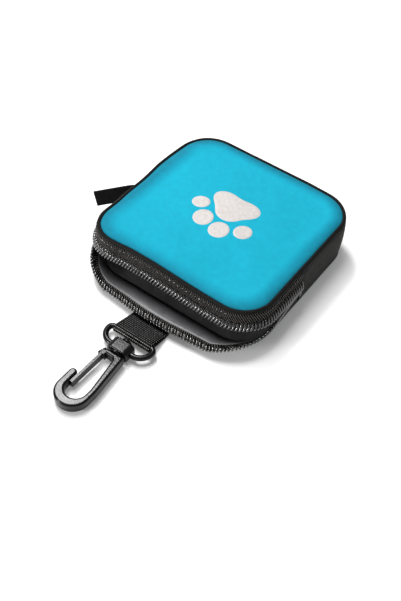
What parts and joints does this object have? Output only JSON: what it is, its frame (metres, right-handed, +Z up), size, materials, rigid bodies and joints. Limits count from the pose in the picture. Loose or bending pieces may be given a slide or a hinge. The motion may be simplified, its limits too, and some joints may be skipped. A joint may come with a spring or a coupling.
{
  "type": "treat pouch",
  "caption": "Square padded pouch with a zip mouth round its front, a lid that lifts, a looped webbing strap and a swivel snap hook",
  "frame": {"origin": "centre of the base panel's underside", "axes": "+Z up through the lid, +Y to the closed rear side, -Y out of the mouth along the strap and hook, +X to the right end of the mouth"},
  "size_m": [0.1491, 0.2024, 0.0322],
  "materials": {
    "panel_fabric": "bright cyan knit face over soft padding",
    "stiffener_foam": "thin closed-cell foam board",
    "lining_satin": "dark grey coated satin lining",
    "piping_cord": "black bound edge over cord",
    "wall_fabric": "black plain-weave oxford cloth",
    "zip_tape": "black herringbone zip tape",
    "zip_coil": "black nylon coil, glossy",
    "zip_metal": "black lacquered die-cast metal",
    "pull_rubber": "black moulded soft pull",
    "print_ink": "off-white screen print",
    "webbing": "black ribbed webbing",
    "thread": "black sewing thread",
    "hook_plastic": "black acetal, glossy with a lightly grained top"
  },
  "bodies": {
    "pouch": {"base_panel": "panel_fabric", "base_foam": "stiffener_foam", "floor_lining": "lining_satin", "base_piping": "piping_cord", "lid_panel_rear": "panel_fabric", "lid_foam_rear": "stiffener_foam", "lid_lining_rear": "lining_satin", "lid_piping_rear": "piping_cord", "paw_print_rear": "print_ink", "spine_gusset": "wall_fabric", "wall_lining": "lining_satin", "zip_tape_upper_rear": "zip_tape", "zip_tape_lower_rear": "zip_tape", "zip_coil_upper_rear": "zip_coil", "zip_coil_lower_rear": "zip_coil", "zip_bottom_stop": "zip_metal", "zip_end_tab_left": "wall_fabric", "zip_end_tab_right": "wall_fabric", "zip_top_stop_lower": "zip_metal", "zip_tape_lower_left": "zip_tape", "zip_tape_lower_right": "zip_tape", "zip_coil_lower_left": "zip_coil", "zip_coil_lower_right": "zip_coil", "lip_lining_left": "lining_satin", "lip_lining_right": "lining_satin", "strap_anchor": "webbing", "strap_stitching": "thread"},
    "lid_flap": {"lid_panel_front": "panel_fabric", "lid_foam_front": "stiffener_foam", "lid_lining_front": "lining_satin", "lid_piping_front": "piping_cord", "paw_print_front": "print_ink", "zip_tape_upper_front": "zip_tape", "zip_coil_upper_front": "zip_coil", "zip_top_stop_upper": "zip_metal"},
    "mouth_lip": {"zip_tape_lower_front": "zip_tape", "zip_coil_lower_front": "zip_coil", "lip_lining_front": "lining_satin"},
    "slider": {"slider_body": "zip_metal", "slider_bail": "zip_metal"},
    "pull": {"pull_tab": "pull_rubber"},
    "strap": {"strap_loop": "webbing"},
    "eye": {"swivel_eye": "hook_plastic"},
    "hook": {"hook_body": "hook_plastic", "stem_retainer": "hook_plastic"},
    "gate": {"hook_gate": "hook_plastic"}
  },
  "joints": [
    {"name": "lid_lift", "type": "hinge", "parent": "pouch", "child": "lid_flap", "pos_m": [0, -0.007, 0.0332], "axis": [-1, 0, 0], "range_deg": [0, 45]},
    {"name": "lip_lift", "type": "hinge", "parent": "pouch", "child": "mouth_lip", "pos_m": [0, -0.0575, 0.0041], "axis": [-1, 0, 0], "range_deg": [0, 45]},
    {"name": "slider_slide", "type": "slide", "parent": "pouch", "child": "slider", "axis": [0, 1, 0], "range_m": [0, 0.012]},
    {"name": "pull_swing", "type": "hinge", "parent": "slider", "child": "pull", "pos_m": [-0.0627, 0.0015, 0.016], "axis": [-0.2588, 0, 0.9659], "range_deg": [-125, 34]},
    {"name": "strap_fold", "type": "hinge", "parent": "pouch", "child": "strap", "pos_m": [0, -0.0745, 0.0021], "axis": [-1, 0, 0], "range_deg": [0, 60]},
    {"name": "eye_swing", "type": "hinge", "parent": "strap", "child": "eye", "pos_m": [0, -0.087, 0.0045], "axis": [-1, 0, 0], "range_deg": [-90, 90]},
    {"name": "hook_swivel", "type": "hinge", "parent": "eye", "child": "hook", "pos_m": [0, -0.1, 0.0045], "axis": [0, 1, 0], "continuous": true},
    {"name": "gate_flex", "type": "hinge", "parent": "hook", "child": "gate", "pos_m": [-0.0054, -0.1056, 0.0045], "axis": [0, 0, 1], "range_deg": [0, 18], "stiffness_Nm_per_rad": 0.05}
  ]
}
